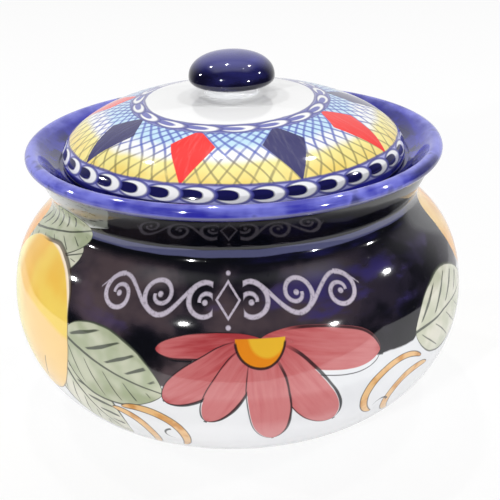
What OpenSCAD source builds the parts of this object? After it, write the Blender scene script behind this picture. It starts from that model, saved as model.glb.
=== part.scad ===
// Biscuit jar: a thrown and glazed earthenware pot, a domed lid that drops into a seat inside
// the rim, and a mushroom knob luted onto the lid. Millimetres, +Z up. The origin is the middle
// of the foot's underside, and every piece is a body of revolution about Z.

/* [Pot] */
// Height of the pot, from the table to the crest of its rim
pot_h = 132.4; // [128:0.2:140]
// Diameter over the rim, at the outermost circle of the lip
rim_d = 200; // [196:1:208]
// Thickness of the rounded lip
lip_t = 6.8; // [5:0.2:8]
// Diameter of the waist under the rim
waist_d = 177; // [174:0.2:180]
// Height of the waist above the table
waist_z = 107.8; // [105:0.2:110]
// Radius of the hollow curve that the waist turns on
waist_curve = 9.2; // [7:0.2:11]
// Lean of the shoulder where it runs into that curve, in degrees from upright
shoulder_lean = 31; // [27:0.5:35]
// Diameter of the belly at its fullest
belly_d = 221.2; // [212:0.2:232]
// Height of the belly's fullest circle above the table
belly_z = 57.5; // [50:0.5:64]
// Wall thickness, measured level
wall = 6.8; // [5:0.2:8]

/* [Foot] */
// Outer diameter of the foot ring
foot_d = 140; // [124:1:148]
// Width of the ring that the pot stands on, its small bevels included
foot_w = 9; // [6:0.5:12]
// Height of the foot ring, which is also how far the base is hollowed
foot_h = 2.8; // [2:0.2:4]
// Thickness of the pot's floor
floor_t = 7; // [5:0.5:10]

/* [Lid seat] */
// Depth of the seat below the crest of the rim
seat_depth = 8.9; // [8:0.1:10]
// Diameter of the opening through the seat
seat_bore_d = 155; // [153.4:0.2:157]
// Thickness of the ledge at the edge of that opening
seat_t = 4.5; // [3.5:0.5:6]
// Clearance all round between the lid's edge and the seat's wall
seat_gap = 2; // [1.2:0.1:2.4]

/* [Lid] */
// Diameter of the lid
lid_d = 164.6; // [163:0.2:166]
// Height of the lid's upright edge, from the seat to where the dome begins
lid_edge_h = 4.7; // [3.5:0.1:6]
// Rise of the dome above the upright edge
dome_h = 26; // [22:0.5:30]
// Fullness of the dome in plan radius: 2 is an ellipse, more stands fuller at its edge
dome_full = 2.4; // [2:0.05:2.8]
// Squareness of the dome in height: 2 is an ellipse, less has a steeper crown
dome_crown = 1.66; // [1.6:0.02:1.9]
// Wall thickness of the lid
lid_wall = 5.6; // [4.8:0.1:6]

/* [Locating flange] */
// Outer diameter of the flange under the lid, which centres the lid in the seat
flange_d = 151; // [149:0.2:152]
// Thickness of the flange
flange_t = 4.7; // [4:0.1:5.2]
// Depth of the flange below the seat
flange_h = 9.5; // [6:0.5:12]

/* [Knob] */
// Diameter of the knob's cap
cap_d = 41; // [36:0.5:46]
// Height of the cap's widest circle above the lid
cap_z = 7.8; // [7.6:0.1:10]
// Rise of the cap above its widest circle
cap_rise = 11.9; // [9:0.1:14]
// Drop of the cap's rounded underside below its widest circle
cap_drop = 3.5; // [2.5:0.1:3.5]
// Fullness of the cap: 2 is an ellipse
cap_full = 2.3; // [2:0.05:2.6]
// Diameter of the knob's stem where it stands on the lid
stem_d = 26; // [22:0.5:28]

/* [Hidden] */

// Steps along one curve of a profile, and steps round a body for the preview
curve_steps = 20;
arc_steps = 10;
$fn = 120;

rim_r = rim_d / 2;
lip_r = lip_t / 2;
lip_z = pot_h - lip_r;
waist_r = waist_d / 2;
belly_r = belly_d / 2;
foot_r = foot_d / 2;
base_z = foot_h + floor_t;
foot_bevel = 0.8;

seat_z = pot_h - seat_depth;
seat_bore_r = seat_bore_d / 2;
lid_r = lid_d / 2;
seat_r = lid_r + seat_gap;

// How strongly the pot's curves hold their direction: outside at the foot, the belly and the
// shoulder, and inside above the belly and under the waist
foot_pull = 16.6;
foot_slope = 10;
under_belly_pull = 31;
over_belly_pull = 32.6;
shoulder_pull = 7;
inside_belly_pull = 32;
inside_waist_pull = 10;

// The flare leaves the waist's curve as the tangent that meets the lip's underside
waist_centre = [waist_r + waist_curve, waist_z];
lip_centre = [rim_r - lip_r, lip_z];
to_lip = lip_centre - [0, lip_r] - waist_centre;
flare_angle = atan2(to_lip[1], to_lip[0]) + acos(waist_curve / norm(to_lip));

dome_z = seat_z + lid_edge_h;
lid_corner = 1.2;
flange_r = flange_d / 2;
flange_bore_r = flange_r - flange_t;
flange_z = seat_z - flange_h;

cap_r = cap_d / 2;
stem_r = stem_d / 2;
// The lid is flat where the knob stands on it, at the height of the dome's curve there
stem_angle = asin(pow(stem_r / lid_r, dome_full / 2));
stem_z = dome_z + dome_h * pow(cos(stem_angle), 2 / dome_crown);
widest_z = stem_z + cap_z;

// Points of a cubic Bezier curve over four control points, without its first point
function bezier(a, b, c, d, steps = curve_steps) =
    [for (i = [1 : steps])
        let (t = i / steps, s = 1 - t)
        s * s * s * a + 3 * s * s * t * b + 3 * s * t * t * c + t * t * t * d];

// Points of an arc from one angle to another
function arc(centre, r, from, to, steps = arc_steps) =
    [for (i = [0 : steps])
        let (angle = from + (to - from) * i / steps)
        centre + r * [cos(angle), sin(angle)]];

// A point of the dome's superellipse: angle 0 is its middle, and 90 its edge
function dome_point(r, z, h, angle) =
    [r * pow(sin(angle), 2 / dome_full), z + h * pow(cos(angle), 2 / dome_crown)];

// Points of that superellipse between two angles
function dome(r, z, h, from, to, steps = curve_steps) =
    [for (i = [0 : steps]) dome_point(r, z, h, from + (to - from) * i / steps)];

// Points of a quarter of an ellipse between two angles
function cove(centre, r, h, from, to, steps = arc_steps) =
    [for (i = [0 : steps])
        let (angle = from + (to - from) * i / steps)
        centre + [r * cos(angle), h * sin(angle)]];

// The pot's outside from the foot to the flare: two curves that are upright at the belly, then
// the hollow curve of the waist
function pot_outside(foot, belly) =
    let (waist = arc(waist_centre, waist_curve, 180 + shoulder_lean, flare_angle))
    let (slope = [-sin(shoulder_lean), cos(shoulder_lean)])
    concat(
        bezier(foot, foot + foot_pull * [cos(foot_slope), sin(foot_slope)],
            belly - [0, under_belly_pull], belly),
        bezier(belly, belly + [0, over_belly_pull], waist[0] - shoulder_pull * slope, waist[0]),
        [for (i = [1 : arc_steps]) waist[i]]);

// The pot's inside from the waist down to the middle of the floor
function pot_inside(waist, belly) = let (floor_edge = belly[0] * 0.42) concat(
    bezier(waist, waist - [0, inside_waist_pull], belly + [0, inside_belly_pull], belly),
    bezier(belly, belly - [0, under_belly_pull], [belly[0] * 0.84, base_z], [floor_edge, base_z]),
    [[0, base_z]]);

// The foot ring and the hollowed base, from the middle outwards
function foot_ring() = let (inner = foot_r - foot_w) [
    [0, foot_h],
    [inner - foot_h, foot_h],
    [inner - foot_bevel, foot_bevel],
    [inner, 0],
    [foot_r - foot_bevel, 0],
    [foot_r, foot_bevel]];

// The lip, from its underside over the rounded rim and down its sloping inner face
function lip() =
    let (turn = 125, edge = [seat_r, seat_z + 1])
    let (inner = lip_centre + lip_r * [cos(turn), sin(turn)], slope = [sin(turn), -cos(turn)])
    concat(
        arc(lip_centre, lip_r, -90, turn, 2 * arc_steps),
        bezier(inner, inner - 3 * slope, edge + [4, 1], edge, arc_steps));

// The ledge that carries the lid, and the hollow under it
function seat(under) =
    let (nose = 1)
    concat(
        [[seat_r, seat_z]],
        arc([seat_bore_r + nose, seat_z - nose], nose, 90, 180, 4),
        bezier([seat_bore_r, seat_z - seat_t], [seat_bore_r, seat_z - seat_t - 3],
            under + [0, 4], under, arc_steps));

// The pot: foot ring, belly, waist, flared rim and the seat inside it, in one piece of clay
module jar_body() {
    belly_inside = [belly_r - wall, belly_z];
    waist_inside = [waist_r - wall, waist_z - 3];
    color("mediumblue")
        rotate_extrude()
            polygon(concat(
                foot_ring(),
                [[foot_r, foot_h]],
                pot_outside([foot_r, foot_h], [belly_r, belly_z]),
                lip(),
                seat(waist_inside),
                pot_inside(waist_inside, belly_inside)));
}

// The flange under the lid, from its outer face round its rounded end to its inner face
function flange() =
    let (r = flange_t / 2)
    concat(
        [[flange_r, seat_z]],
        arc([flange_r - r, flange_z + r], r, 0, -180, 2 * arc_steps));

// The lid: a hollow dome with an upright edge that rests on the seat and a flange that centres it
module lid() {
    inside_r = lid_r - lid_wall;
    inside_z = dome_z - 1;
    inside_h = dome_h + dome_z - inside_z - lid_wall;
    meet = asin(pow(flange_bore_r / inside_r, dome_full / 2));
    color("khaki")
        rotate_extrude()
            polygon(concat(
                [[0, stem_z]],
                dome(lid_r, dome_z, dome_h, stem_angle, 90),
                arc([lid_r - lid_corner, seat_z + lid_corner], lid_corner, 0, -90, 4),
                flange(),
                dome(inside_r, inside_z, inside_h, meet, 0)));
}

// The knob: a waisted stem under a full, domed cap
module knob() {
    shoulder = 0.78 * cap_r;
    under_z = widest_z - cap_drop;
    quarter = [for (i = [0 : curve_steps]) 90 * i / curve_steps];
    color("midnightblue")
        rotate_extrude()
            polygon(concat(
                [[0, stem_z], [stem_r, stem_z]],
                bezier([stem_r, stem_z], [stem_r - 1.6, stem_z + 1.2],
                    [stem_r - 1.8, under_z + 0.4], [shoulder, under_z], arc_steps),
                cove([shoulder, widest_z], cap_r - shoulder, cap_drop, -80, 0),
                [for (angle = quarter)
                    [cap_r * pow(cos(angle), 2 / cap_full),
                        widest_z + cap_rise * pow(sin(angle), 2 / cap_full)]]));
}

jar_body();
lid();
knob();
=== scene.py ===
"""A biscuit jar of tin-glazed earthenware: thrown pot, domed lid and knob, with their painting."""

import math

import bpy
import numpy as np
from mathutils import Matrix, Vector


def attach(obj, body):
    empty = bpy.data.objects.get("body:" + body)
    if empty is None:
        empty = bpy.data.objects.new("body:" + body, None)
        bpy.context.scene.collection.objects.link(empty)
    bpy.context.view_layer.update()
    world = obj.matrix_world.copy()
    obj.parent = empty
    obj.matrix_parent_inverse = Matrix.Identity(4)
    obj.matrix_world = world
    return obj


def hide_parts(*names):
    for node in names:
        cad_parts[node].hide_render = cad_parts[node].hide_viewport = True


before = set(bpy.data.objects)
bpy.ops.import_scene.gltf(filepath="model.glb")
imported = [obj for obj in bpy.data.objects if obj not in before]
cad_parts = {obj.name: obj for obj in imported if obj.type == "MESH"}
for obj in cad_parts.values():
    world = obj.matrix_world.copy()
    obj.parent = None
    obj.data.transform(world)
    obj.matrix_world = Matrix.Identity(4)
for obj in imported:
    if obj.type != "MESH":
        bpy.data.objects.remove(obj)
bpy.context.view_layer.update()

MM = 0.001

# ---------------------------------------------------------------- sizes, in millimetres and degrees

# The pot: its rim, waist, belly, foot and floor
POT_H, WALL, FLOOR_T = 132.4, 6.8, 7.0
RIM_R, LIP_R, LIP_TURN = 100.0, 3.4, 125.0
WAIST_R, WAIST_Z, WAIST_CURVE, SHOULDER_LEAN = 88.5, 107.8, 9.2, 31.0
BELLY_R, BELLY_Z = 110.6, 57.5
FOOT_R, FOOT_W, FOOT_H, FOOT_BEVEL, FOOT_SLOPE = 70.0, 9.0, 2.8, 0.8, 10.0
INSIDE_WAIST_DROP = 3.0

# How far the ends of its curves pull along their own direction, outside, inside and in the well
FOOT_PULL, UNDER_BELLY_PULL, OVER_BELLY_PULL, SHOULDER_PULL = 16.6, 31.0, 32.6, 7.0
INSIDE_BELLY_PULL, INSIDE_WAIST_PULL, LEDGE_PULL, HOLLOW_PULL = 32.0, 10.0, 3.0, 4.0
WELL_PULL, WELL_FOOT_PULL = 3.0, (4.0, 1.0)
# Where the floor is flat, and where the curve into it pulls to, as shares of the belly's inner radius
FLAT_SHARE, FLOOR_PULL_SHARE = 0.42, 0.84

# The seat for the lid
SEAT_DEPTH, SEAT_BORE_R, SEAT_T, SEAT_GAP = 8.9, 77.5, 4.5, 2.0
SEAT_CORNER, SEAT_NOSE = 1.0, 1.0

# The lid and its flange
LID_R, LID_EDGE_H, LID_WALL, LID_CORNER = 82.3, 4.7, 5.6, 1.2
DOME_H, DOME_FULL, DOME_CROWN, INNER_DOME_DROP = 26.0, 2.4, 1.66, 1.0
FLANGE_R, FLANGE_T, FLANGE_H = 75.5, 4.7, 9.5

# The knob: its cap, the inner edge of the cap's underside, and its stem
CAP_R, CAP_Z, CAP_RISE, CAP_DROP, CAP_FULL = 20.5, 7.8, 11.9, 3.5, 2.3
CAP_SHOULDER_R = 0.78 * CAP_R
STEM_R, STEM_FOOT_PULL, STEM_TOP_PULL = 13.0, (1.6, 1.2), (1.8, 0.4)

LIP_Z = POT_H - LIP_R
SEAT_Z = POT_H - SEAT_DEPTH
SEAT_R = LID_R + SEAT_GAP
BASE_Z = FOOT_H + FLOOR_T
DOME_Z = SEAT_Z + LID_EDGE_H
FLANGE_Z = SEAT_Z - FLANGE_H
STEM_ANGLE = math.asin((STEM_R / LID_R) ** (DOME_FULL / 2))
STEM_Z = DOME_Z + DOME_H * math.cos(STEM_ANGLE) ** (2 / DOME_CROWN)
WIDEST_Z = STEM_Z + CAP_Z

# How finely a piece is thrown: steps round it, and the crease in degrees past which an edge is sharp
TURNS, KNOB_TURNS, CREASE = 330, 128, 38

# How far the clay strays inwards: slow waves on each piece, and the pot's throwing rings and their step
POT_WAVE, POT_RINGS, RING_STEP = 0.3, 0.05, 7.5
LID_WAVE, KNOB_WAVE = 0.15, 0.2


# ---------------------------------------------------------------- profiles

def bezier(a, b, c, d, steps):
    """Cubic Bezier curve over four control points, first point left out: s³a + 3s²t·b + 3st²·c + t³d, where
    s = 1 - t."""
    t = np.linspace(0, 1, steps + 1)[1:, None]
    s = 1 - t
    a, b, c, d = (np.asarray(p, float) for p in (a, b, c, d))
    return s**3 * a + 3 * s * s * t * b + 3 * s * t * t * c + t**3 * d


def arc(centre, across, up, start, end, steps):
    """Arc of an ellipse: centre + (across·cos, up·sin) of an angle that runs from start to end, in
    degrees."""
    angle = np.radians(np.linspace(start, end, steps + 1))
    return np.stack([centre[0] + across * np.cos(angle), centre[1] + up * np.sin(angle)], -1)


def dome(r, z, h, start, end, steps):
    """Superellipse (r·sin^(2/full), z + h·cos^(2/crown)) of an angle from 0 in the middle to a right angle
    at the edge."""
    angle = np.linspace(start, end, steps + 1)
    sine, cosine = np.clip(np.sin(angle), 0, 1), np.clip(np.cos(angle), 0, 1)
    return np.stack([r * sine ** (2 / DOME_FULL), z + h * cosine ** (2 / DOME_CROWN)], -1)


def level(z, from_r, to_r, steps):
    """A level stretch from one radius to another, first point left out."""
    r = np.linspace(from_r, to_r, steps + 1)[1:]
    return np.stack([r, np.full(steps, z)], -1)


def pot_profile():
    """The pot's section, from the middle of its underside out, up the outside, over the lip and down the
    inside."""
    foot, belly = np.array([FOOT_R, FOOT_H]), np.array([BELLY_R, BELLY_Z])
    inner = FOOT_R - FOOT_W
    ring = np.array([[inner - FOOT_H, FOOT_H], [inner - FOOT_BEVEL, FOOT_BEVEL], [inner, 0],
                     [FOOT_R - FOOT_BEVEL, 0], [FOOT_R, FOOT_BEVEL], foot])
    underside = np.vstack([[[0, FOOT_H]], level(FOOT_H, 0, inner - FOOT_H, steps=8)[:-1], ring])
    slope = np.radians(FOOT_SLOPE)
    rising = FOOT_PULL * np.array([np.cos(slope), np.sin(slope)])
    lower = bezier(foot, foot + rising, belly - (0, UNDER_BELLY_PULL), belly, steps=34)

    lip_centre = np.array([RIM_R - LIP_R, LIP_Z])
    lip_under = lip_centre - (0, LIP_R)
    waist_centre = np.array([WAIST_R + WAIST_CURVE, WAIST_Z])
    to_lip = lip_under - waist_centre
    flare = np.degrees(np.arctan2(to_lip[1], to_lip[0]) + np.arccos(WAIST_CURVE / np.hypot(*to_lip)))
    waist = arc(waist_centre, WAIST_CURVE, WAIST_CURVE, 180 + SHOULDER_LEAN, flare, steps=16)
    lean = np.radians(SHOULDER_LEAN)
    leaning = SHOULDER_PULL * np.array([-np.sin(lean), np.cos(lean)])
    upper = bezier(belly, belly + (0, OVER_BELLY_PULL), waist[0] - leaning, waist[0], steps=34)
    flared = waist[-1] + (lip_under - waist[-1]) * np.linspace(0, 1, 13)[1:, None]

    bead = arc(lip_centre, LIP_R, LIP_R, -90, LIP_TURN, steps=22)[1:]
    turn = np.radians(LIP_TURN)
    falling = WELL_PULL * np.array([np.sin(turn), -np.cos(turn)])
    edge = np.array([SEAT_R, SEAT_Z + SEAT_CORNER])
    well = bezier(bead[-1], bead[-1] - falling, edge + WELL_FOOT_PULL, edge, steps=12)
    ledge = np.vstack([
        [[SEAT_R, SEAT_Z]],
        level(SEAT_Z, SEAT_R, SEAT_BORE_R + SEAT_NOSE, steps=4)[:-1],
        arc((SEAT_BORE_R + SEAT_NOSE, SEAT_Z - SEAT_NOSE), SEAT_NOSE, SEAT_NOSE, 90, 180, steps=5),
        [[SEAT_BORE_R, SEAT_Z - SEAT_T]]])

    waist_in = np.array([WAIST_R - WALL, WAIST_Z - INSIDE_WAIST_DROP])
    belly_in = np.array([BELLY_R - WALL, BELLY_Z])
    hollow = bezier(ledge[-1], ledge[-1] - (0, LEDGE_PULL), waist_in + (0, HOLLOW_PULL), waist_in, steps=8)
    inside = bezier(waist_in, waist_in - (0, INSIDE_WAIST_PULL), belly_in + (0, INSIDE_BELLY_PULL),
                    belly_in, steps=18)
    flat = FLAT_SHARE * belly_in[0]
    bottom = bezier(belly_in, belly_in - (0, UNDER_BELLY_PULL), (FLOOR_PULL_SHARE * belly_in[0], BASE_Z),
                    (flat, BASE_Z), steps=22)
    return np.vstack([underside, lower, upper, waist[1:], flared, bead, well, ledge, hollow, inside, bottom,
                      level(BASE_Z, flat, 0, steps=8)])


def lid_profile():
    """The lid's section, from the middle of its crown out over the dome, round the flange and back under
    the dome."""
    pad = level(STEM_Z, 0, STEM_R, steps=5)
    outer = dome(LID_R, DOME_Z, DOME_H, STEM_ANGLE, math.pi / 2, steps=90)[1:]
    edge = np.stack([np.full(3, LID_R), np.linspace(DOME_Z, SEAT_Z + LID_CORNER, 5)[1:-1]], -1)
    corner = arc((LID_R - LID_CORNER, SEAT_Z + LID_CORNER), LID_CORNER, LID_CORNER, 0, -90, steps=6)
    rest = level(SEAT_Z, LID_R - LID_CORNER, FLANGE_R, steps=3)
    half = FLANGE_T / 2
    flange = arc((FLANGE_R - half, FLANGE_Z + half), half, half, 0, -180, steps=16)
    inner_r = LID_R - LID_WALL
    inner_z = DOME_Z - INNER_DOME_DROP
    meet = math.asin(((FLANGE_R - FLANGE_T) / inner_r) ** (DOME_FULL / 2))
    under = dome(inner_r, inner_z, DOME_H + DOME_Z - inner_z - LID_WALL, meet, 0, steps=44)
    under[-1, 0] = 0
    return np.vstack([[[0, STEM_Z]], pad, outer, edge, corner, rest, flange, under])


def knob_profile():
    """The knob's section, from the middle of the stem's foot out, up the stem, round the cap to its top."""
    under_z = WIDEST_Z - CAP_DROP
    low_in, low_up = STEM_FOOT_PULL
    top_in, top_up = STEM_TOP_PULL
    stem = bezier((STEM_R, STEM_Z), (STEM_R - low_in, STEM_Z + low_up), (STEM_R - top_in, under_z + top_up),
                  (CAP_SHOULDER_R, under_z), steps=18)
    cove = arc((CAP_SHOULDER_R, WIDEST_Z), CAP_R - CAP_SHOULDER_R, CAP_DROP, -80, 0, steps=14)
    angle = np.linspace(0, math.pi / 2, 41)[1:]
    sine, cosine = np.clip(np.sin(angle), 0, 1), np.clip(np.cos(angle), 0, 1)
    cosine[-1] = 0
    cap = np.stack([CAP_R * cosine ** (2 / CAP_FULL), WIDEST_Z + CAP_RISE * sine ** (2 / CAP_FULL)], -1)
    return np.vstack([[[0, STEM_Z]], level(STEM_Z, 0, STEM_R, steps=4), stem, cove, cap])


def run_of(profile):
    """Length along a section from its first point, in mm."""
    steps = np.hypot(*np.diff(profile, axis=0).T)
    return np.concatenate([[0], np.cumsum(steps)])


def run_at(profile, r, z):
    """Length along a section, in mm, to its point nearest to a radius and a height."""
    return float(run_of(profile)[np.argmin(np.hypot(profile[:, 0] - r, profile[:, 1] - z))])


# ---------------------------------------------------------------- thrown surfaces

def corners(*pairs):
    """The UV corners of a row of faces, from a pair of coordinates for each corner."""
    return np.stack([np.stack(np.broadcast_arrays(u, v), -1) for u, v in pairs], 1)


def thrown(name, profile, turns, give):
    """Revolves a section about Z: the point (r, z) at an angle goes to (r·sin, -r·cos, z). give(r, z,
    angle) is how far the clay is pulled in towards the axis there. The UV map holds the angle as a share
    of a turn, 0.5 at the front, and the length along the section as a share of the whole."""
    r, z = profile[:, :1], profile[:, 1:]
    angle = np.linspace(-math.pi, math.pi, turns, endpoint=False)[None, :]
    pulled = r - give(r, z, angle)
    height = np.broadcast_to(z, pulled.shape)
    points = np.stack([pulled * np.sin(angle), -pulled * np.cos(angle), height], -1)
    body = points[1:-1].reshape(-1, 3)
    verts = np.vstack([body, points[0, 0], points[-1, 0]]) * MM
    share = run_of(profile) / run_of(profile)[-1]

    rows = len(profile) - 3
    i, j = (index.ravel() for index in np.meshgrid(np.arange(rows), np.arange(turns), indexing="ij"))
    k = (j + 1) % turns
    quads = np.stack([i * turns + j, i * turns + k, (i + 1) * turns + k, (i + 1) * turns + j], -1)
    u0, u1, v0, v1 = j / turns, (j + 1) / turns, share[i + 1], share[i + 2]
    quad_uv = corners((u0, v0), (u1, v0), (u1, v1), (u0, v1))

    j = np.arange(turns)
    k = (j + 1) % turns
    last = rows * turns
    first_fan = np.stack([np.full(turns, len(body)), k, j], -1)
    last_fan = np.stack([np.full(turns, len(body) + 1), last + j, last + k], -1)
    u0, middle, u1 = j / turns, (j + 0.5) / turns, (j + 1) / turns
    first_uv = corners((middle, share[0]), (u1, share[1]), (u0, share[1]))
    last_uv = corners((middle, share[-1]), (u0, share[-2]), (u1, share[-2]))

    mesh = bpy.data.meshes.new(name)
    mesh.from_pydata(verts, [], quads.tolist() + first_fan.tolist() + last_fan.tolist())
    flat = np.concatenate([part.reshape(-1) for part in (quad_uv, first_uv, last_uv)])
    mesh.uv_layers.new(name="wheel").data.foreach_set("uv", flat)
    mesh.polygons.foreach_set("use_smooth", np.ones(len(mesh.polygons), bool))
    mesh.set_sharp_from_angle(angle=math.radians(CREASE))
    mesh.update()
    piece = bpy.data.objects.new(name, mesh)
    bpy.context.scene.collection.objects.link(piece)
    return piece


def rise(value, start, over):
    """0 up to a start and 1 from over past it, straight between them. A negative over makes it fall."""
    return np.clip((value - start) / over, 0, 1)


def pot_give(r, z, angle):
    """Slow waves round the belly, of two and three to a turn, and faint throwing rings. Both are gone at
    the foot, the rim and the seat."""
    wave = 0.5 + 0.3 * np.sin(2 * angle + z / 23) + 0.2 * np.sin(3 * angle - z / 31 + 1)
    rings = 0.5 + 0.5 * np.sin(z * 2 * math.pi / RING_STEP + angle)
    return rise(z, 6, 20) * rise(z, 112, -12) * (POT_WAVE * wave + POT_RINGS * rings)


def lid_give(r, z, angle):
    """Slow waves, two to a turn, on the dome only: none at its edge, the seat or the knob's foot."""
    fade = rise(z, DOME_Z, 8) * rise(z, STEM_Z - 1, -4) * rise(r, STEM_R, 10)
    return fade * LID_WAVE * (0.5 + 0.5 * np.sin(2 * angle + z / 9))


def knob_give(r, z, angle):
    """A cap pressed a little out of round: two waves to a turn, on the cap only."""
    return rise(z, STEM_Z + 3, 4) * rise(r, 0, 6) * KNOB_WAVE * (0.5 + 0.5 * np.sin(2 * angle + 0.7))


# ---------------------------------------------------------------- shader maths

def linear(colour):
    """A colour written as #RRGGBB, as the linear values that a shader takes."""
    parts = [int(colour[i:i + 2], 16) / 255 for i in (1, 3, 5)]
    return tuple(p / 12.92 if p <= 0.04045 else ((p + 0.055) / 1.055) ** 2.4 for p in parts) + (1.0,)


class Field:
    """A socket that Python's operators work on. Each operator adds one Math node."""

    def __init__(self, recipe, socket):
        self.recipe, self.socket = recipe, socket

    def maths(self, operation, *others, clamp=False):
        values = dict(enumerate((self,) + others))
        return self.recipe.node("ShaderNodeMath", {"operation": operation, "use_clamp": clamp}, values)

    def reflected(self, operation, other):
        return self.recipe.node("ShaderNodeMath", {"operation": operation}, {0: other, 1: self})

    def __add__(self, other):
        return self.maths("ADD", other)

    def __sub__(self, other):
        return self.maths("SUBTRACT", other)

    def __mul__(self, other):
        return self.maths("MULTIPLY", other)

    def __truediv__(self, other):
        return self.maths("DIVIDE", other)

    def __mod__(self, other):
        return self.maths("FLOORED_MODULO", other)

    def __pow__(self, other):
        return self.maths("POWER", other)

    def __rsub__(self, other):
        return self.reflected("SUBTRACT", other)

    def __rtruediv__(self, other):
        return self.reflected("DIVIDE", other)

    def __neg__(self):
        return self.maths("MULTIPLY", -1.0)

    def __abs__(self):
        return self.maths("ABSOLUTE")

    __radd__ = __add__
    __rmul__ = __mul__

    def above(self, other):
        """The greater of this and the other."""
        return self.maths("MAXIMUM", other)

    def below(self, other):
        """The lesser of this and the other."""
        return self.maths("MINIMUM", other)

    def beyond(self, other):
        """1 where this is greater than the other, and 0 elsewhere."""
        return self.maths("GREATER_THAN", other)

    def cut(self):
        """Held between 0 and 1."""
        return self.maths("ADD", 0.0, clamp=True)

    def cover(self, soft=0.4):
        """1 where this distance is well below 0, 0 well above it, with an edge as wide as soft."""
        return self.maths("MULTIPLY_ADD", -1.0 / soft, 0.5, clamp=True)

    def ease(self, low, high):
        """0 at low and 1 at high, with a smooth step between them."""
        return self.recipe.node("ShaderNodeMapRange", {"interpolation_type": "SMOOTHSTEP"},
                                {"Value": self, "From Min": low, "From Max": high})

    def near(self, middle, half, soft):
        """1 within half of a middle value, and 0 from soft further off."""
        return (abs(self - middle) - half).ease(soft, 0)


class Recipe:
    """A node tree and the ways to add to it."""

    def __init__(self, tree):
        self.tree = tree

    def node(self, kind, settings=None, values=None, out=0):
        """Adds a node: its settings are set first, then the values or links of its inputs. Gives one of its
        outputs, where it has any."""
        made = self.tree.nodes.new(kind)
        for key, value in (settings or {}).items():
            setattr(made, key, value)
        for key, value in (values or {}).items():
            self.feed(made.inputs[key], value)
        return Field(self, made.outputs[out]) if made.outputs else None

    def feed(self, socket, value):
        """Links a field to a socket, or sets the socket to a plain value."""
        if isinstance(value, Field):
            self.tree.links.new(value.socket, socket)
        else:
            socket.default_value = value

    def split(self, vector):
        """The three parts of a vector."""
        first = self.node("ShaderNodeSeparateXYZ", None, {0: vector})
        return [Field(self, socket) for socket in first.socket.node.outputs]

    def grain(self, scale, detail=2.0, stretch=(1, 1, 1), offset=(0, 0, 0)):
        """Noise from 0 to 1 on the piece's own coordinates, with scale features to the metre, stretched and
        moved per axis."""
        place = self.node("ShaderNodeTexCoord", out="Object")
        moved = self.node("ShaderNodeMapping", None, {"Vector": place, "Scale": stretch, "Location": offset})
        return self.node("ShaderNodeTexNoise", None, {"Vector": moved, "Scale": scale, "Detail": detail})

    def chart_grain(self, x, y, scale, detail=2.0):
        """Noise from 0 to 1 on two chart coordinates, with one feature about every 1 / scale of them."""
        place = self.node("ShaderNodeCombineXYZ", None, {0: x, 1: y})
        return self.node("ShaderNodeTexNoise", {"noise_dimensions": "2D"},
                         {"Vector": place, "Scale": scale, "Detail": detail})

    def mix(self, share, under, over):
        """The colour under, with the colour over laid on it by a share from 0 to 1."""
        factor, first, second, colour = 0, 6, 7, 2
        values = {factor: share, first: under, second: over}
        return self.node("ShaderNodeMix", {"data_type": "RGBA"}, values, colour)


class Glaze(Recipe):
    """One material, with a Principled BSDF whose sockets the recipe fills in."""

    def __init__(self, name):
        self.material = bpy.data.materials.new(name)
        self.material.use_nodes = True
        super().__init__(self.material.node_tree)
        self.shader = next(n for n in self.tree.nodes if n.type == "BSDF_PRINCIPLED")

    def finish(self, **sockets):
        """Feeds the shader's sockets, named with _ for each space, and gives the material."""
        for key, value in sockets.items():
            self.feed(self.shader.inputs[key.replace("_", " ")], value)
        return self.material


class Chart:
    """A painter's flat chart of a thrown surface: x round it, y in mm along its section, and paint laid on
    it in layers. run is y without the hand's tremble, and press is how hard the brush bears there."""

    def __init__(self, glaze, profile, x_per_turn, start, ground, shake=0.8):
        self.glaze = glaze
        self.turn = x_per_turn
        u, v, _ = glaze.split(glaze.node("ShaderNodeUVMap", {"uv_map": "wheel"}))
        place = glaze.node("ShaderNodeTexCoord", out="Object")
        noise = {"Vector": place, "Scale": 55.0, "Detail": 1.5}
        tremble = glaze.split(glaze.node("ShaderNodeTexNoise", None, noise, out="Color"))
        mm = x_per_turn / (2 * math.pi * float(profile[:, 0].max()))
        self.x = (u - 0.5) * x_per_turn + (tremble[0] - 0.5) * (2 * shake * mm)
        self.run = v * float(run_of(profile)[-1]) - start
        self.y = self.run + (tremble[1] - 0.5) * (2 * shake)
        self.press = tremble[2]
        self.colour = ground

    def lay(self, share, paint):
        """Lays paint over what is there, by a share from 0 to 1."""
        self.colour = self.glaze.mix(share, self.colour, paint)

    def at(self, degrees, height, turned=0.0, repeats=2):
        """Coordinates along and across a motif at an angle round the piece and a height along its section,
        turned by some degrees, which comes again repeats times in a turn."""
        period = self.turn / repeats
        centre = degrees / 360 * self.turn
        dx = (self.x - (centre - period / 2)) % period - period / 2
        dy = self.y - height
        if not turned:
            return dx, dy
        c, s = math.cos(math.radians(turned)), math.sin(math.radians(turned))
        return dx * c + dy * s, dy * c - dx * s


# ---------------------------------------------------------------- paints

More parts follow.
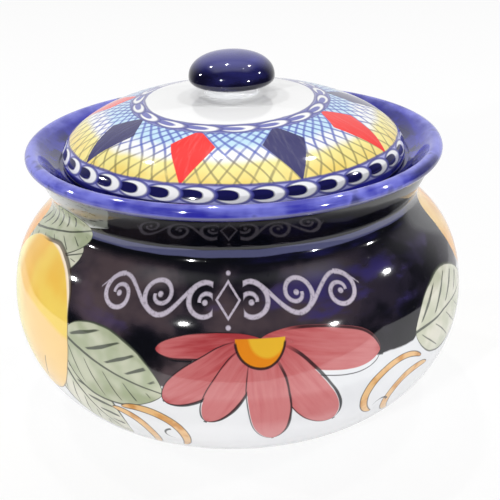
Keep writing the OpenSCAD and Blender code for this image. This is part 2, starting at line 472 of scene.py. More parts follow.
INK, UMBER = linear("#1A1B20"), linear("#33261C")
WHITE_GLAZE, WHITE_SHADE, CREAM_GLAZE = linear("#E8E9EB"), linear("#D6D8DD"), linear("#E9E2D2")
BARE_CLAY, CLAY_CLOUD, GROG = linear("#D2A27C"), linear("#BC8A66"), linear("#7A5236")
LEAF_GREEN, LEAF_PALE, LEAF_CREAM = linear("#A4AC8E"), linear("#C0C3AC"), linear("#DAD8C8")
# Of these, the grey is painted shade on the neck, under the rim.
LEAF_VEIN, NECK_SHADE_GREY = linear("#3C4238"), linear("#4C534A")
LEMON, LEMON_DEEP, LEMON_PALE = linear("#F0D060"), linear("#EEB94A"), linear("#F8F2A0")
PEACH, LEMON_SKIN = linear("#F4CF8C"), linear("#F7E6CE")
ORANGE, ORANGE_PALE, ORANGE_WARM = linear("#F3A44A"), linear("#F8D596"), linear("#F0B46C")
ROSE, ROSE_DEEP, ROSE_PALE = linear("#BC6062"), linear("#A23339"), linear("#C97C7D")
OCHRE, OCHRE_DEEP = linear("#E6BA82"), linear("#CE9350")
EYE_DARK, EYE_LIGHT = linear("#DE841C"), linear("#E2B030")
NIGHT, NIGHT_BLACK, PLUM = linear("#211D2A"), linear("#04050C"), linear("#4E4145")
VIOLET, MAUVE = linear("#262264"), linear("#463A66")
# The middle one of these is a painted reflection of the table round the waist.
WASH, WAIST_REFLECTION, LILAC = linear("#1E1E26"), linear("#55577A"), linear("#C6BCCB")
COBALT, COBALT_PALE, COBALT_DEEP = linear("#2E2DA2"), linear("#7C7FDA"), linear("#070844")
# The second of these is a painted reflection of the table under the lip.
WELL_BLUE, LIP_REFLECTION = linear("#1C1AB0"), linear("#85859E")
# The second of these is a painted reflection and shade of the knob, round its foot on the lid.
LID_WHITE, KNOB_SHADE_AND_REFLECTION = linear("#F0F0F0"), linear("#E9CFC8")
SKY_WASH, SUN_WASH, SUN_DEEP = linear("#B6DAF0"), linear("#F2E591"), linear("#EFD474")
LATTICE_BLUE, LATTICE_OLIVE = linear("#4A5CB4"), linear("#857C50")
KITE_RED, KITE_NAVY = linear("#EE1008"), linear("#201C60")
LINK_BLUE, LINK_NIGHT, LINE_BLUE = linear("#6468B0"), linear("#15144C"), linear("#404190")
BORDER_BLUE, BORDER_PALE = linear("#6669B2"), linear("#A9AADB")
KNOB_NIGHT, KNOB_BLUE = linear("#090724"), linear("#3A3A8E")
TABLE_WHITE = linear("#F4F4F4")


# ---------------------------------------------------------------- brush marks

def leaf(chart, at, turned, length, half, veins=5, widest=0.9, bow=0.0, blunt=0.7,
         paints=(LEAF_GREEN, LEAF_PALE)):
    """A leaf from its stalk along a bowed midrib: half width = half·sin(pi·t^widest)^blunt at t of its
    length. Its veins are short strokes that slant forward, thickest in their middle, and stronger on the
    upper flank."""
    glaze = chart.glaze
    along, across = chart.at(*at, turned)
    t = (along / length).cut()
    across = across - t * (1 - t) * (4 * bow)
    side = abs(across)
    width = (t ** widest * math.pi).maths("SINE").above(0.0) ** blunt * half
    away = (side - width).above(-along).above(along - length)
    wash = glaze.chart_grain(along, across, 0.06)
    chart.lay(away.cover(), glaze.mix(wash.ease(0.36, 0.64), *paints))

    slant = 1.9
    row = (along / length * veins - side / half * slant + 0.4) % 1.0
    swell = (1 - abs(side / half - 0.45) * 1.7).cut()
    thick = swell * (across.beyond(0.0) * 0.55 + 0.26)
    stroke = abs(row - 0.5) * (length / veins * 0.62) - thick - 0.08
    flank = (away + half * 0.14).cover(1.0) * (side - half * 0.12).ease(0, 1)
    inner = flank * t.ease(0.04, 0.1) * t.ease(0.97, 0.88)
    chart.lay(stroke.cover() * inner * 0.9, LEAF_VEIN)
    midrib = side - (1 - t) * 0.4 - 0.32
    chart.lay(midrib.above(away).cover() * 0.92, LEAF_VEIN)
    press = (abs(across) * (0.5 / half) + chart.press * 1.8 - 0.7).cut()
    chart.lay((abs(away) - press * 0.5 - 0.2).cover() * 0.88, LEAF_VEIN)


def lemon(chart, at, wide, high):
    """A round lemon, |x|^full + |y|^full = 1 in shares of its half width and height: pale on its left,
    peach underneath, and amber above a slanting line, with a pale skin on its shoulder and an umber
    outline on its right. A short dark crease marks its end."""
    glaze = chart.glaze
    along, across = chart.at(*at)
    x, y = along / wide, across / high
    full = 2.35
    away = ((abs(x) ** full + abs(y) ** full) ** (1 / full) - 1) * min(wide, high)
    skin = y.ease(0.25, 0.7) * x.ease(-0.1, 0.3) * 2.4
    wash = glaze.chart_grain(along, across, 0.035)
    chart.lay((away - skin).cover(0.6), LEMON_SKIN)
    tint = glaze.mix((x + y * 0.25 + wash * 0.6).ease(-0.35, 0.55), LEMON_PALE, PEACH)
    line = across + along * 0.236 - 10.0 + (wash - 0.5) * 7
    amber = (-line).cover(2.4) * (along + wide * 0.55).ease(-7, 7)
    deep = glaze.mix((wash * 0.9 + y * 0.3 - x * 0.2).ease(0.35, 0.8), LEMON, LEMON_DEEP)
    chart.lay(away.cover(0.9), glaze.mix(amber * 0.95, tint, deep))
    press = y.ease(0.2, 0.9) * 0.85
    chart.lay((abs(away - skin) - press - 0.22).cover() * x.ease(-0.35, 0.05) * 0.8, UMBER)
    crease_x, crease_y = chart.at(at[0] + 8, at[1] - 22, turned=68)
    chart.lay((abs(crease_y) - 0.35).above(abs(crease_x) - 8).cover() * 0.7, INK)


def orange(chart, at, radius):
    """A round orange, warmer on its lower side and deepest on its right."""
    glaze = chart.glaze
    along, across = chart.at(*at)
    away = (along * along + across * across) ** 0.5 - radius
    wash = glaze.chart_grain(along, across, 0.05)
    tint = glaze.mix((wash * 0.7 - across / radius * 0.3).ease(0.2, 0.6), ORANGE_PALE, ORANGE_WARM)
    tint = glaze.mix((along / radius + wash * 0.5).ease(0.1, 0.7) * 0.8, tint, ORANGE)
    chart.lay(away.cover(0.8), tint)


def petal(chart, at, turned, length, half, depth, slip):
    """A petal from the flower's middle: half width = half·(1 - |2t^1.25 - 1|^2.6)^0.6 at t of its length.
    It is streaked lengthways, deepest near the flower and at its very tip. Its outline slips off the
    colour, and is heavier on one flank."""
    glaze = chart.glaze
    along, across = chart.at(*at, turned)
    t = (along / length).cut()
    width = (1 - abs(t ** 1.25 * 2 - 1) ** 2.6) ** 0.6 * half
    away = (abs(across) - width).above(-along).above(along - length)
    streak = glaze.chart_grain(along * 0.12, across + depth * 40, 0.42, 3)
    tone = streak * 0.55 - t * 0.5 + depth * 0.5 + t.ease(0.93, 1.0) * 0.3
    tint = glaze.mix(tone.ease(-0.05, 0.5), ROSE_PALE, ROSE)
    tint = glaze.mix(tone.ease(0.34, 0.68) * 0.9, tint, ROSE_DEEP)
    chart.lay(away.cover(), tint)
    flanks = abs(across + slip) - width - abs(slip) * 0.6
    line = flanks.above(-along).above(along - length - abs(slip))
    press = (across * (0.5 / half) + chart.press * 2.0 - 0.75).cut() * 0.55
    chart.lay((abs(line) - press - 0.27).cover() * t.ease(0.12, 0.3) * 0.9, INK)


def eye(chart, at, radius):
    """The lower half of the flower's tall eye: yellow, with an orange crescent on its left and below, in a
    dark line."""
    x, y = chart.at(*at)
    tall = 1.22
    y = y / tall
    away = ((x * x + y * y) ** 0.5 - radius).above(y - 0.2)
    glow = ((x - radius * 0.28) ** 2 + (y - radius * 0.14) ** 2) ** 0.5 - radius * 0.77
    chart.lay(away.cover(), chart.glaze.mix(glow.cover(1.2), EYE_DARK, EYE_LIGHT))
    chart.lay((abs(away) - 0.55).cover() * (y + 1.2).cover(1.0) * 0.92, INK)


def sweep(chart, at, radius, squash, opens, spread, width):
    """A tapering brush scroll: a flattened ring about its centre, for spread degrees about the direction it
    opens, in a fine dark line."""
    glaze = chart.glaze
    along, across = chart.at(*at)
    across = across / squash
    angle = across.maths("ARCTAN2", along) - math.radians(opens)
    end = abs((angle + math.pi) % (2 * math.pi) - math.pi) / math.radians(spread)
    taper = (1 - (end ** 3).cut()) ** 0.5 * (width / 2)
    away = (abs((along * along + across * across) ** 0.5 - radius) - taper).above((end - 1) * radius)
    wash = glaze.chart_grain(along, across, 0.12)
    chart.lay(away.cover(), glaze.mix(wash.ease(0.42, 0.72), OCHRE, OCHRE_DEEP))
    chart.lay((abs(away) - 0.3).cover() * (end - 1).cover(0.05) * 0.85, INK)


def hook(chart, at, turned, radius, spread, width):
    """A short dark comma stroke: an arc about its centre that thins towards its end."""
    along, across = chart.at(*at, turned)
    end = across.maths("ARCTAN2", along) / math.radians(spread)
    stroke = abs((along * along + across * across) ** 0.5 - radius) - (1 - end) * (width / 2)
    chart.lay(stroke.cover() * end.ease(-0.02, 0.02) * end.ease(1.0, 0.95) * 0.9, INK)


def running_scroll(chart, at, lobe, lobes, swing, width):
    """A scroll of the rinceau kind, mirrored about its middle: a stem that waves once in two lobes, a
    tendril that curls inwards in each lobe and ends in a bead, and a lozenge with a pip above and below it
    in the middle. The stem thins to its far ends."""
    along, across = chart.at(*at)
    side = abs(along)
    thick = (1 - (side / (lobe * lobes)) ** 6 * 0.8).cut() * width
    cell = side % lobe - lobe / 2
    up = across * (1 - (side / lobe).maths("FLOOR") % 2.0 * 2)
    wave = cell * (math.pi / lobe)
    steep = 1 + abs(wave.maths("SINE")) * 0.35
    stem = abs(up - wave.maths("COSINE") * swing) / steep - thick / 2
    lift = up + swing * 0.16
    angle = (cell.maths("ARCTAN2", lift) / (2 * math.pi)) % 1.0
    far = (cell * cell + lift * lift) ** 0.5
    pitch, start = swing * 0.66, swing * 1.16
    whole = ((start - far) / pitch - angle + 0.5).maths("FLOOR").above(0.0) + angle
    curl = abs(far - start + whole * pitch) - (1.15 - whole * 0.3) * (width / 2) + whole.beyond(1.25) * 5
    bead = far - width * 0.62
    mark = stem.below(curl).below(bead).above(side - lobe * lobes).above(swing * 0.95 - side)
    lozenge = abs(side * 1.5 + abs(across) - swing * 1.05) - width * 0.45
    pips = (side ** 2 + (abs(across) - swing * 1.55) ** 2) ** 0.5 - width * 0.55
    chalk = chart.glaze.chart_grain(along, across, 0.7, 3).ease(0.25, 0.5)
    chart.lay(mark.below(lozenge).below(pips).cover(0.6) * (chalk * 0.35 + 0.6), LILAC)


# ---------------------------------------------------------------- the pot's painting

# The dark band, in mm: its lower edge and its neck up the side, and its two ends round it from the front
BAND_FOOT, NECK_LOW, NECK_HIGH, NECK_TOP = 88.5, 131, 137, 150
BAND_LEFT, BAND_RIGHT = 101, 119
# The painted reflection of the table round the waist, and the violet line under it
WAIST_LINE, UNDER_WAIST = 129.9, 126.6

# The daisy's middle. Each petal: the way it points, its length, half width, depth of colour and the slip
# of its outline
DAISY = (4.5, 92.5)
PETALS = (
    (187, 46, 5.6, 1.0, 0.0),
    (-14.5, 58, 10, 0.5, 1.6),
    (215, 53, 8.5, 0.7, 0.0),
    (238.6, 48, 7.6, 0.35, 0.4),
    (-54, 59, 9.6, 0.3, -0.6),
    (-83.5, 57, 9.2, 0.2, 0.3))
PALE_LEAF = (LEAF_PALE, LEAF_CREAM)

# Where a glaze ends, in mm: short of bare clay, in from the lid's edge, up from the bore, below the lip and
# below the knob's cap
CLAY_GAP, UNDER_LID, BORE_GLAZE, LIP_GAP, CAP_GAP = 0.3, 1.5, 3.5, 0.4, 0.4


def night_band(chart):
    """The dark ground between two ends and a wavy lower edge, with a deep notch each side of the daisy:
    plum blotches on its left, violet streaks on its right, near black as painted shade under the rim, a
    bluish painted reflection of the table round the waist, and a thin grey wash past its right end."""
    glaze = chart.glaze
    x, _ = chart.at(0, 0)
    y = chart.y
    blotch = glaze.grain(38.0, 3.0, offset=(0.3, 0.1, 0.2))
    streak = glaze.grain(26.0, 4.0, stretch=(1, 1, 2.6))
    notches = x.near(-36, 11, 7) * 19 + x.near(74.5, 11, 9) * 13.5 + x.near(108, 14, 8) * 6
    under = (BAND_FOOT - notches + (blotch - 0.5) * 3 - y).cover(0.8)
    neck = y.ease(NECK_LOW, NECK_HIGH)
    ragged = (blotch - 0.5) * 6
    left_end = (neck * 29 + y.ease(NECK_HIGH, NECK_TOP) * 6 - BAND_LEFT - x + ragged * 0.3).cover(1.2)
    right_end = (x - neck * 30 - y.ease(122, 100) * 30 - BAND_RIGHT + ragged).cover(9)
    past = (x - 152 + ragged).cover(3) * (94 - y).cover(5) * x.ease(60, 100)
    chart.lay(under * past * 0.9, WASH)
    paint = glaze.mix((blotch * 0.7 + streak * 0.3).ease(0.40, 0.60) * x.ease(90, -10), NIGHT, PLUM)
    mauve = streak.ease(0.50, 0.60) * y.near(104, 8, 7) * x.ease(-90, -50)
    paint = glaze.mix(mauve * 0.6, paint, MAUVE)
    violet = streak.ease(0.48, 0.62) * x.ease(-10, 50) * y.ease(126, 112) * y.ease(84, 92) * x.ease(105, 70)
    paint = glaze.mix(violet * 0.65, paint, VIOLET)
    paint = glaze.mix((blotch + streak * 0.7).ease(0.84, 0.70) * 0.75, paint, NIGHT_BLACK)
    paint = glaze.mix(y.ease(99, 90) * blotch.ease(0.62, 0.45) * 0.85, paint, NIGHT_BLACK)
    # Painted shade: the neck under the rim goes near black.
    paint = glaze.mix(y.ease(121, 127), paint, NIGHT_BLACK)
    # Painted reflection of the table: a bluish-grey line round the waist.
    paint = glaze.mix(y.near(WAIST_LINE, 1.4, 0.7) * 0.85, paint, WAIST_REFLECTION)
    fringe = y.near(UNDER_WAIST, 0.8, 1.4) * streak.ease(0.4, 0.6) * x.ease(-10, 40)
    paint = glaze.mix(fringe * 0.5, paint, VIOLET)
    chart.lay(under * right_end * left_end, paint)


def neck_painted_shade(chart):
    """Painted shade under the rim, left of the dark ground: grey-green, with dark strokes, fading left."""
    x, y = chart.at(-38, 141)
    fade = x.ease(-62, -4) * y.ease(-8, -4)
    strokes = chart.glaze.chart_grain(x * 0.22 + y * 0.3, y * 1.4 - x * 0.2, 0.5, 3)
    left = (x - 12).cover(1.0)
    # Painted shade: a grey-green wash on the neck under the rim, darker to the right.
    chart.lay(left * fade * 0.9, NECK_SHADE_GREY)
    chart.lay(left * strokes.ease(0.60, 0.66) * fade * 0.7, INK)


def garland(chart):
    """Leaves, fruit, half a daisy and scrolls. Each is placed by its angle round the pot in degrees and its
    height in mm above the foot, measured along the wall."""
    leaf(chart, (-66, 107), turned=20, length=38, half=12, veins=3, blunt=0.5, paints=PALE_LEAF)
    leaf(chart, (-89, 111), turned=14, length=85, half=15, veins=8, blunt=0.5)
    leaf(chart, (45.5, 77.5), turned=3, length=62, half=20, paints=PALE_LEAF)
    leaf(chart, (-46, 70), turned=-58, length=50, half=16, veins=6, widest=0.75, paints=PALE_LEAF)
    leaf(chart, (-45.5, 83.5), turned=-18.5, length=56, half=18, bow=-1.5, blunt=0.62)
    orange(chart, (-93, 107), radius=25)
    lemon(chart, (-64.3, 80), wide=39.5, high=37)
    for turned, length, half, depth, slip in PETALS:
        petal(chart, DAISY, turned, length, half, depth, slip)
    eye(chart, DAISY, radius=10.8)
    sweep(chart, (-25.5, 36), radius=21, squash=0.92, opens=38, spread=74, width=5.0)
    sweep(chart, (-32.5, 33), radius=17, squash=1.1, opens=20, spread=70, width=4.6)
    hook(chart, (-17.6, 38.5), turned=100, radius=4.4, spread=170, width=1.6)
    sweep(chart, (41, 53), radius=20, squash=0.78, opens=140, spread=95, width=4.6)
    sweep(chart, (48, 45), radius=17, squash=0.82, opens=150, spread=88, width=5.2)
    hook(chart, (37, 43.5), turned=20, radius=4.6, spread=150, width=1.6)


def cobalt_rim(chart, lip_run, crest_run, seat_run):
    """Brushed cobalt from under the lip over the rim and down the well: paler streaks, most on the crest
    as a painted highlight, dark dabs where the brush overlapped, a bluer well with deep patches, painted
    shade at its front, and a greyish painted reflection of the table under the lip."""
    glaze = chart.glaze
    brush = glaze.grain(30.0, 4.0, stretch=(1, 1, 6))
    dabs = glaze.grain(85.0, 2.5, stretch=(1, 1, 0.5), offset=(0.2, 0.5, 0.1))
    into_well = chart.run - crest_run
    x, _ = chart.at(0, 0, repeats=1)
    # Painted highlight: the streaks turn paler, and the dark dabs fewer, on the crest.
    crown = into_well.near(0, 1.2, 5.5)
    overlap = x.near(116, 10, 14) * chart.run.near(lip_run + 5, 3, 3)
    paint = glaze.mix((brush * 0.6 + dabs * 0.4 + crown * 0.08).ease(0.42, 0.68), COBALT, COBALT_PALE)
    paint = glaze.mix((dabs * 0.7 + brush * 0.3 - crown * 0.04).ease(0.54, 0.64) * 0.75, paint, COBALT_DEEP)
    paint = glaze.mix(overlap * 0.75, paint, COBALT_DEEP)
    paint = glaze.mix(into_well.ease(3, 8) * 0.85, paint, WELL_BLUE)
    paint = glaze.mix((brush + dabs).ease(1.06, 0.9) * into_well.ease(5, 12) * 0.8, paint, COBALT_DEEP)
    # Painted shade: the front of the well darkened, where the lid and rim shade it.
    paint = glaze.mix(into_well.ease(2.0, 5.5) * x.near(0, 112, 36) * 0.92, paint, COBALT_DEEP)
    # Painted reflection of the table: a greyish line under the lip's bead.
    paint = glaze.mix(chart.run.near(lip_run + 3.0, 1.0, 0.9) * 0.75, paint, LIP_REFLECTION)
    chart.lay((lip_run - chart.run).above(chart.run - seat_run).cover(0.9), paint)


def clay_paint(glaze):
    """Bare fired clay: buff, with warmer clouds and fine dark grog."""
    cloud = glaze.grain(60.0, 4.0).ease(0.4, 0.62)
    grog = glaze.grain(1500.0, 1.0).ease(0.66, 0.74)
    return glaze.mix(grog * 0.4, glaze.mix(cloud, BARE_CLAY, CLAY_CLOUD), GROG)


def fire(glaze, colour, bare):
    """Finishes a glazed piece: gloss over a surface that swells slowly and has small pits, and where the
    clay is bare, a rough grain and no gloss."""
    slow = glaze.grain(28.0, 2.0)
    fine = glaze.grain(420.0, 2.0)
    pits = glaze.grain(900.0, 1.0, offset=(1, 2, 3)).ease(0.74, 0.80)
    height = slow * 0.25 + fine * (bare * 0.25 + 0.008) - pits * 0.05
    bump = glaze.node("ShaderNodeBump", None, {"Height": height, "Strength": 1.0, "Distance": 0.0008})
    rough = (slow * 0.03 + 0.045) * (1 - bare) + bare * 0.82
    return glaze.finish(Base_Color=colour, Roughness=rough, IOR=1.7, Normal=bump)


def pot_glaze(profile):
    """The pot: a white glazed ground, the dark band, the garland, a scroll and the cobalt rim outside,
    cream glaze inside, and bare clay where the pot stands and where the lid rests."""
    foot = run_at(profile, FOOT_R, FOOT_H)
    lip = run_at(profile, RIM_R - LIP_R, LIP_Z - LIP_R) - foot
    crest = run_at(profile, RIM_R - LIP_R, POT_H) - foot
    seat = run_at(profile, SEAT_R, SEAT_Z) - foot
    under_lid = seat + SEAT_R - LID_R + UNDER_LID
    bore = run_at(profile, SEAT_BORE_R, SEAT_Z - SEAT_T) - foot
    glaze = Glaze("painted_pot_glaze")
    chart = Chart(glaze, profile, 2 * math.pi * BELLY_R, foot, WHITE_GLAZE)
    chart.lay(glaze.grain(9.0, 3.0).ease(0.4, 0.7) * 0.4, WHITE_SHADE)
    neck_painted_shade(chart)
    night_band(chart)
    garland(chart)
    running_scroll(chart, (-2.5, 109.5), lobe=21.5, lobes=3, swing=7.6, width=2.0)
    cobalt_rim(chart, lip - LIP_GAP, crest, under_lid)
    chart.lay((under_lid - chart.run).cover(), CREAM_GLAZE)
    stands = (chart.run + FOOT_H - CLAY_GAP).above(-FOOT_H - FOOT_W - FOOT_BEVEL - chart.run).cover()
    rests = (under_lid + CLAY_GAP - chart.run).above(chart.run - bore + BORE_GLAZE).cover()
    bare = stands.above(rests)
    chart.lay(bare, clay_paint(glaze))
    return fire(glaze, chart.colour, bare)


# ---------------------------------------------------------------- the lid's painting

# The kites: their angles and paints, then in mm along the lid's section their outer tip, side corners and
# inner corner, and half their width
KITES = (
    (-105, KITE_RED), (-57.5, KITE_NAVY), (-17.3, KITE_RED), (21.5, KITE_NAVY),
    (60, KITE_RED), (101, KITE_NAVY), (152, KITE_RED), (204, KITE_NAVY))
KITE_TIP, KITE_SIDES, KITE_INNER, KITE_HALF = 84.2, 61.5, 49.8, 10.4
# The radius in mm at which a kite's degrees become mm across
KITE_R = 61
# The lattice: the degrees between two lines of a family, and the circle in mm that they would touch
LATTICE_STEP, LATTICE_INNER = 5.4, 38.0

# The crown and the two borders: each ground's inner and outer edge in mm along the lid
GROUNDS = ((-9.0, 50.4, LID_WHITE), (44.0, 50.4, BORDER_BLUE), (83.2, 95.0, BORDER_PALE))
# The brushed lines beside the borders: where each lies and half its width. Then where the cobalt edge begins
BORDER_LINES = ((43.6, 0.5), (50.7, 0.35), (83.2, 0.6))
COBALT_EDGE = 91.4


def kite(chart, degrees, paint):
    """A kite on its long axis: its half width grows from the outer tip to two side corners, then shrinks
    faster to the inner corner. The long flanks are slightly hollow and the short ones full."""
    glaze = chart.glaze
    x, y = chart.at(degrees, 0, repeats=1)
    up = ((KITE_TIP - y) / (KITE_TIP - KITE_SIDES)).cut() ** 1.12
    down = ((y - KITE_INNER) / (KITE_SIDES - KITE_INNER)).cut() ** 0.78
    flanks = abs(x) * math.radians(KITE_R) - up.below(down) * KITE_HALF
    away = flanks.above(y - KITE_TIP).above(KITE_INNER - y)
    strokes = glaze.chart_grain(x, y * 0.16, 0.6, 3)
    chart.lay(away.cover(), glaze.mix(strokes.ease(0.45, 0.8) * 0.05, paint, LID_WHITE))


def lattice(chart):
    """Two families of brush lines that cross. In plan each is a straight line that would touch a circle
    inside the inner border: at a distance y from the middle it has turned by the arc cosine of inner / y.
    They are blue and broad near the middle, thin and olive over the yellow."""
    glaze = chart.glaze
    x, _ = chart.at(0, 0, repeats=1)
    fan = (LATTICE_INNER / chart.y.above(LATTICE_INNER)).maths("ARCCOSINE") * math.degrees(1)
    olive = chart.y.ease(66, 73)
    reach = (chart.y ** 2 - LATTICE_INNER ** 2).above(1.0) ** 0.5 * math.radians(0.92)
    for way, place in ((1, (0, 0, 0)), (-1, (2, 1, 4))):
        stray = glaze.grain(26.0, 1.0, offset=place)
        load = glaze.grain(110.0, 3.0, offset=place)
        lean = x + fan * way + (stray - 0.5) * 9
        gap = abs(lean % LATTICE_STEP - LATTICE_STEP / 2) * reach
        line = (gap - 0.55 + olive * 0.06).cover(0.5) * load.ease(0.15, 0.5)
        chart.lay(line * (0.86 - olive * 0.12), glaze.mix(olive, LATTICE_BLUE, LATTICE_OLIVE))


def chain(chart, links, offset, middle, half, pill_high, pill_paint):
    """A border of links: a link is a white ellipse that overlaps the next, with a pill inside on its left,
    so that a white crescent shows on its right."""
    period, full = 360 / links, 2.4
    reach = 0.54 * period
    x, y = chart.at(offset, middle, repeats=links)
    high = (y / half) ** 2
    link = ((x / reach) ** 2 + high - 1) * (half / 2)
    last = (((x + period) / reach) ** 2 + high - 1) * (half / 2)
    round_x = abs((x + 0.18 * period) / (0.36 * period)) ** full
    round_y = abs((y - x * 0.04) / (half * pill_high)) ** full
    pill = (round_x + round_y - 1) * (half * pill_high / full)
    chart.lay(link.cover(), LID_WHITE)
    chart.lay((abs(link) - 0.45).cover() * 0.88, LINE_BLUE)
    chart.lay(pill.cover(), pill_paint)
    chart.lay(last.cover(), LID_WHITE)
    chart.lay((abs(last) - 0.45).cover() * (x + 0.2 * period).cover(0.5) * 0.9, LINE_BLUE)


def lid_glaze(profile):
    """The lid: a white crown, a border of blue links, the lattice and its kites over blue, white and
    yellow washes, an outer border of dark links, and a cobalt edge. The inner border is a little out of
    round. Cream glaze underneath, and bare clay where it rests."""
    rest = run_at(profile, LID_R - LID_CORNER, SEAT_Z)
    flange = run_at(profile, FLANGE_R, SEAT_Z)
    glaze = Glaze("painted_lid_glaze")
    chart = Chart(glaze, profile, 360.0, 0.0, LID_WHITE, shake=0.5)
    sine = (chart.x * math.radians(1)).maths("SINE")
    chart.y = chart.y + (sine * sine * 2.7 + sine * 1.2) * chart.y.ease(78, 50)
    wash = glaze.grain(45.0, 3.0)
    uneven = glaze.grain(70.0, 3.0)
    # Painted reflection and shade of the knob: a faint pink ring on the lid round the knob's foot.
    chart.lay(chart.run.near(17.5, 1.5, 3) * 0.55, KNOB_SHADE_AND_REFLECTION)
    band = chart.y + (wash - 0.5) * 9
    chart.lay(band.near(54, 5, 6) * 0.9, SKY_WASH)
    sun = glaze.mix((band - 73).ease(0, 9) * wash.ease(0.35, 0.55), SUN_WASH, SUN_DEEP)
    chart.lay(band.ease(69, 73.5), sun)
    lattice(chart)
    for degrees, paint in KITES:
        kite(chart, degrees, paint)
    for inner, outer, ground in GROUNDS:
        chart.lay((inner - chart.y).above(chart.y - outer).cover(), ground)
    chain(chart, links=18, offset=-17.3, middle=47.2, half=2.9, pill_high=0.5, pill_paint=LINK_BLUE)
    chain(chart, links=34, offset=-0.9, middle=87.5, half=3.8, pill_high=0.6, pill_paint=LINK_NIGHT)
    for place, half in BORDER_LINES:
        chart.lay((abs(chart.y - place + (uneven - 0.5) * 1.6) - half).cover(0.5) * 0.85, LINE_BLUE)
    chart.lay((COBALT_EDGE - chart.y).cover(0.6), glaze.mix(uneven.ease(0.3, 0.52), COBALT_DEEP, COBALT))
    chart.lay((rest - chart.run).cover(), CREAM_GLAZE)
    bare = (rest + CLAY_GAP - chart.run).above(chart.run - flange + CLAY_GAP).cover()
    chart.lay(bare, clay_paint(glaze))
    return fire(glaze, chart.colour, bare)


def knob_glaze(profile):
    """The knob: a cap of dark blue, brushed thinner and bluer on top, on a white stem."""
    under_cap = run_at(profile, CAP_SHOULDER_R, WIDEST_Z - CAP_DROP)
    widest = run_at(profile, CAP_R, WIDEST_Z)
    glaze = Glaze("painted_knob_glaze")
    chart = Chart(glaze, profile, 2 * math.pi * CAP_R, 0.0, WHITE_GLAZE, shake=0.3)
    brush = glaze.grain(60.0, 3.0, stretch=(1, 1, 3))
    thin = (chart.run - widest).ease(3, 13) * 0.75 + brush.ease(0.4, 0.65) * 0.25
    chart.lay((under_cap - CAP_GAP - chart.y).cover(), glaze.mix(thin, KNOB_NIGHT, KNOB_BLUE))
    return fire(glaze, chart.colour, 0.0)


# ---------------------------------------------------------------- pieces

PIECES = (
    ("pot", "jar_body", "pot", "pot_glaze", pot_profile(), TURNS, pot_give, pot_glaze),
    ("domed_lid", "lid", "cover", "lid_glaze", lid_profile(), TURNS, lid_give, lid_glaze),
    ("knob_cap_and_stem", "knob", "cover", "knob_glaze", knob_profile(), KNOB_TURNS, knob_give, knob_glaze))

for name, node, body, slot, profile, turns, give, paint in PIECES:
    piece = thrown(name, profile, turns, give)
    piece.data.materials.append(paint(profile))
    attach(piece, body)
    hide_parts(node)


# ---------------------------------------------------------------- studio, in metres

# The table, and how white it looks
TABLE_FRONT, TABLE_BACK, TABLE_HALF, TABLE_SEEN = -0.212, 4.0, 0.46, 0.85
# The ring of the jar's own shade on it, how deep it is, and where it fades in towards the front
SHADE_R, SHADE_HALF, SHADE_SOFT, SHADE_DEPTH = 0.132, 0.012, 0.018, 0.8
SHADE_BEHIND, SHADE_AHEAD = -0.07, -0.11

# The lamps: each one's direction from the jar's middle and its power in watts
JAR_MIDDLE, LAMP_FAR, LAMP_SIDE = (0, 0, 0.1), 1.8, 0.055
LAMPS = (
    ("low_left", (-0.43, -0.84, 0.33), 19),
    ("low_right", (0.70, -0.70, 0.10), 13),
    ("side_left", (-0.92, 0.12, 0.38), 9),
    ("side_right", (0.88, 0.0, 0.48), 9),
    ("ceiling_left", (-0.45, 0.30, 0.84), 5.5),
    ("ceiling_middle", (-0.08, 0.31, 0.95), 5.5),
    ("ceiling_right", (0.41, 0.26, 0.87), 5.5))

WHITE = (1, 1, 1, 1)


def soft_lamp(name, towards, power):
    """A small square lamp in a direction from the jar's middle, that faces it."""
    middle = Vector(JAR_MIDDLE)
    place = middle + Vector(towards).normalized() * LAMP_FAR
    light = bpy.data.lights.new(name, "AREA")
    light.shape, light.size, light.energy = "SQUARE", LAMP_SIDE, power
    lamp = bpy.data.objects.new(name, light)
    lamp.location = place
    lamp.rotation_euler = (middle - place).to_track_quat("-Z", "Y").to_euler()
    bpy.context.scene.collection.objects.link(lamp)


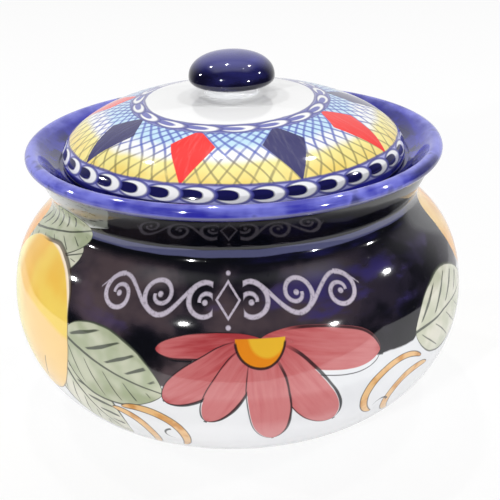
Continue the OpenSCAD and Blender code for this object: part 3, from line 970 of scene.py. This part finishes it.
def studio_table():
    """A plain white table. What looks at it straight sees mostly plain white, and some shadow. What looks
    at it by reflection sees white with an arc of the jar's shade in front of its belly."""
    mesh = bpy.data.meshes.new("table")
    left, right, front, back = -TABLE_HALF, TABLE_HALF, TABLE_FRONT, TABLE_BACK
    corners_at = [(left, front, 0), (right, front, 0), (right, back, 0), (left, back, 0)]
    mesh.from_pydata(corners_at, [], [(0, 1, 2, 3)])
    table = bpy.data.objects.new("table", mesh)
    bpy.context.scene.collection.objects.link(table)
    paper = Glaze("table_paper")
    paper.finish(Base_Color=TABLE_WHITE, Roughness=0.9, Specular_IOR_Level=0.0)
    sees = paper.node("ShaderNodeLightPath", out="Is Camera Ray")
    mirrored = paper.node("ShaderNodeLightPath", out="Is Glossy Ray")
    across, away, _ = paper.split(paper.node("ShaderNodeTexCoord", out="Object"))
    ring = ((across ** 2 + away ** 2) ** 0.5).near(SHADE_R, SHADE_HALF, SHADE_SOFT)
    shaded = ring * away.ease(SHADE_BEHIND, SHADE_AHEAD)
    white = paper.node("ShaderNodeEmission", None, {"Color": WHITE, "Strength": 1.0})
    shade = paper.node("ShaderNodeEmission", None, {"Color": WHITE, "Strength": 0.0})
    matt = Field(paper, paper.shader.outputs[0])
    straight = paper.node("ShaderNodeMixShader", None, {0: sees * TABLE_SEEN, 1: matt, 2: white})
    whiteness = TABLE_SEEN - shaded * SHADE_DEPTH
    mirror = paper.node("ShaderNodeMixShader", None, {0: whiteness, 1: shade, 2: white})
    both = paper.node("ShaderNodeMixShader", None, {0: mirrored, 1: straight, 2: mirror})
    output = next(n for n in paper.tree.nodes if n.type == "OUTPUT_MATERIAL")
    paper.feed(output.inputs["Surface"], both)
    mesh.materials.append(paper.material)


def studio_world():
    """White to the camera. For light, a room that is white behind the jar and dim in front of it. By
    reflection the ceiling over the jar and behind it is white too."""
    world = bpy.data.worlds.new("studio")
    world.use_nodes = True
    room = Recipe(world.node_tree)
    room.tree.nodes.clear()
    side, back, up = room.split(room.node("ShaderNodeTexCoord", out="Generated"))
    bright = (back + up * 0.2).ease(0.25, 1.0) * 0.95 + 0.05
    sees = room.node("ShaderNodeLightPath", out="Is Camera Ray")
    mirrored = room.node("ShaderNodeLightPath", out="Is Glossy Ray")
    ceiling = up.ease(0.55, 0.9) * back.ease(-0.45, -0.1) * abs(side).ease(0.75, 0.45)
    reflected = (bright * 0.85).above(ceiling * 0.9)
    strength = sees.above(bright + (reflected - bright) * mirrored)
    sky = room.node("ShaderNodeBackground", None, {"Color": WHITE, "Strength": strength})
    room.node("ShaderNodeOutputWorld", None, {"Surface": sky})
    bpy.context.scene.world = world


studio_table()
studio_world()
for name, towards, power in LAMPS:
    soft_lamp(name, towards, power)


# ---------------------------------------------------------------- camera

# The lens and sensor in mm, the rest in metres and degrees
LENS, SENSOR, FAR_CLIP = 86.4, 36.0, 50
CAMERA_PLACE = (0, -0.5565, 0.3029)
PITCH, YAW, ROLL = 22.505, 0.67, -1.5

camera = bpy.data.objects.new("camera", bpy.data.cameras.new("camera"))
camera.data.lens, camera.data.sensor_width, camera.data.clip_end = LENS, SENSOR, FAR_CLIP
aim = (Matrix.Rotation(math.radians(-YAW), 4, "Z")
       @ Matrix.Rotation(math.radians(90 - PITCH), 4, "X")
       @ Matrix.Rotation(math.radians(ROLL), 4, "Z"))
camera.matrix_world = Matrix.Translation(CAMERA_PLACE) @ aim
bpy.context.scene.collection.objects.link(camera)
bpy.context.scene.camera = camera
bpy.context.scene.view_settings.view_transform = "Standard"
